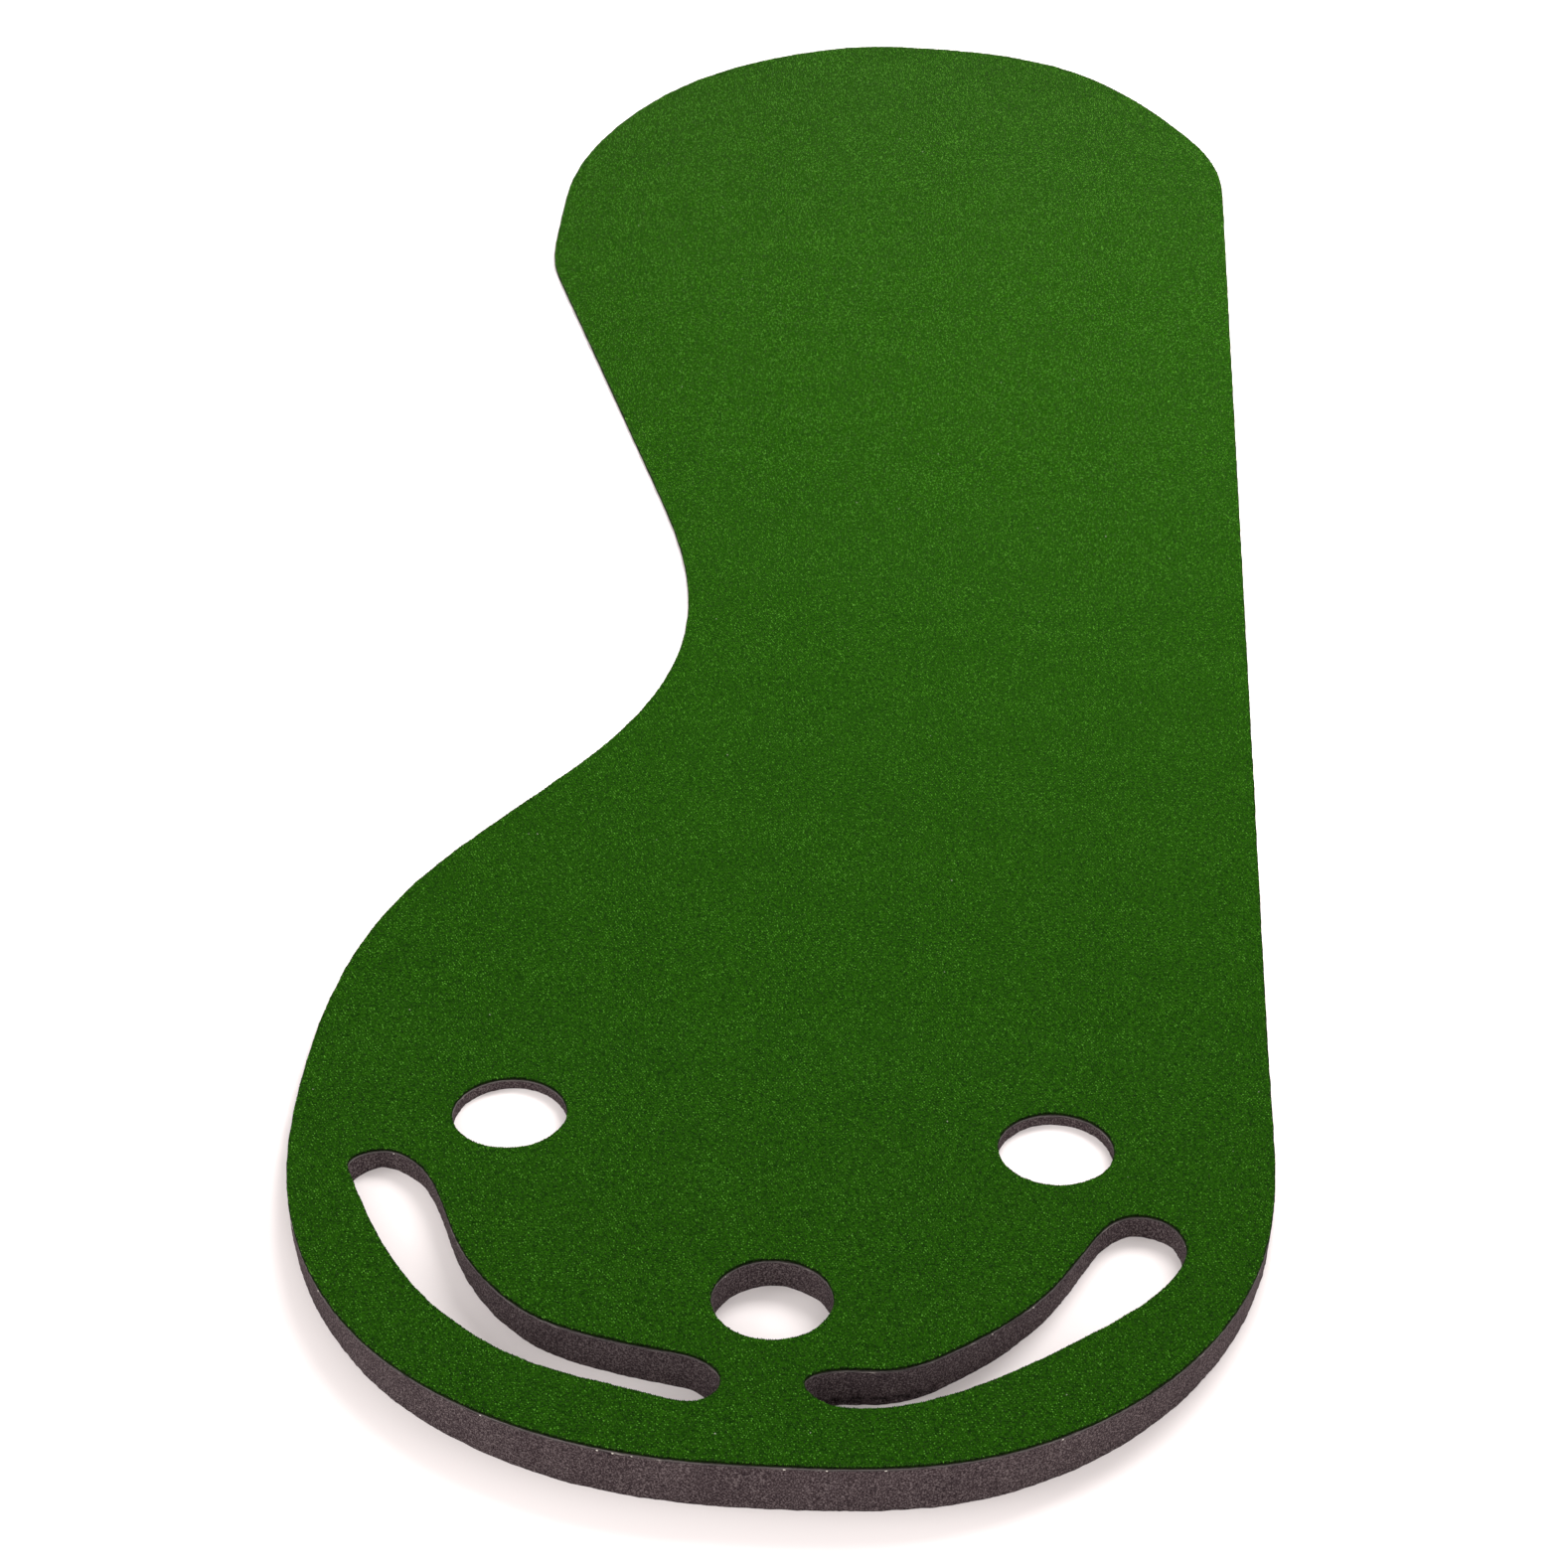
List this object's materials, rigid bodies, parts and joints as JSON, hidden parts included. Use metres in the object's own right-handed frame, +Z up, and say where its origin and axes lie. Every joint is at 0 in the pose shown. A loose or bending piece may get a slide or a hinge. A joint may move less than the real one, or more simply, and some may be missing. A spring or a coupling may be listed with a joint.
{
  "type": "practice putting mat",
  "caption": "Kidney-shaped artificial-turf putting mat rising over a foam ramp to round cup holes and two curved bunker cut-outs, for indoor putting practice.",
  "frame": {"origin": "on the ground under the middle of the mat's length and width", "axes": "+Y along the putt's reverse, from the raised cup end to the flat tee end; +X to the straight edge; +Z up out of the pile"},
  "size_m": [0.882, 2.743, 0.0535],
  "materials": {
    "turf": "matte",
    "backing": "matte",
    "latex": "matte",
    "film": "matte",
    "foam": "matte"
  },
  "bodies": {
    "root": {"turf_pile": "turf", "woven_backing": "backing", "latex_underlay": "latex", "adhesive_film": "film", "foam_ramp": "foam"}
  },
  "joints": []
}
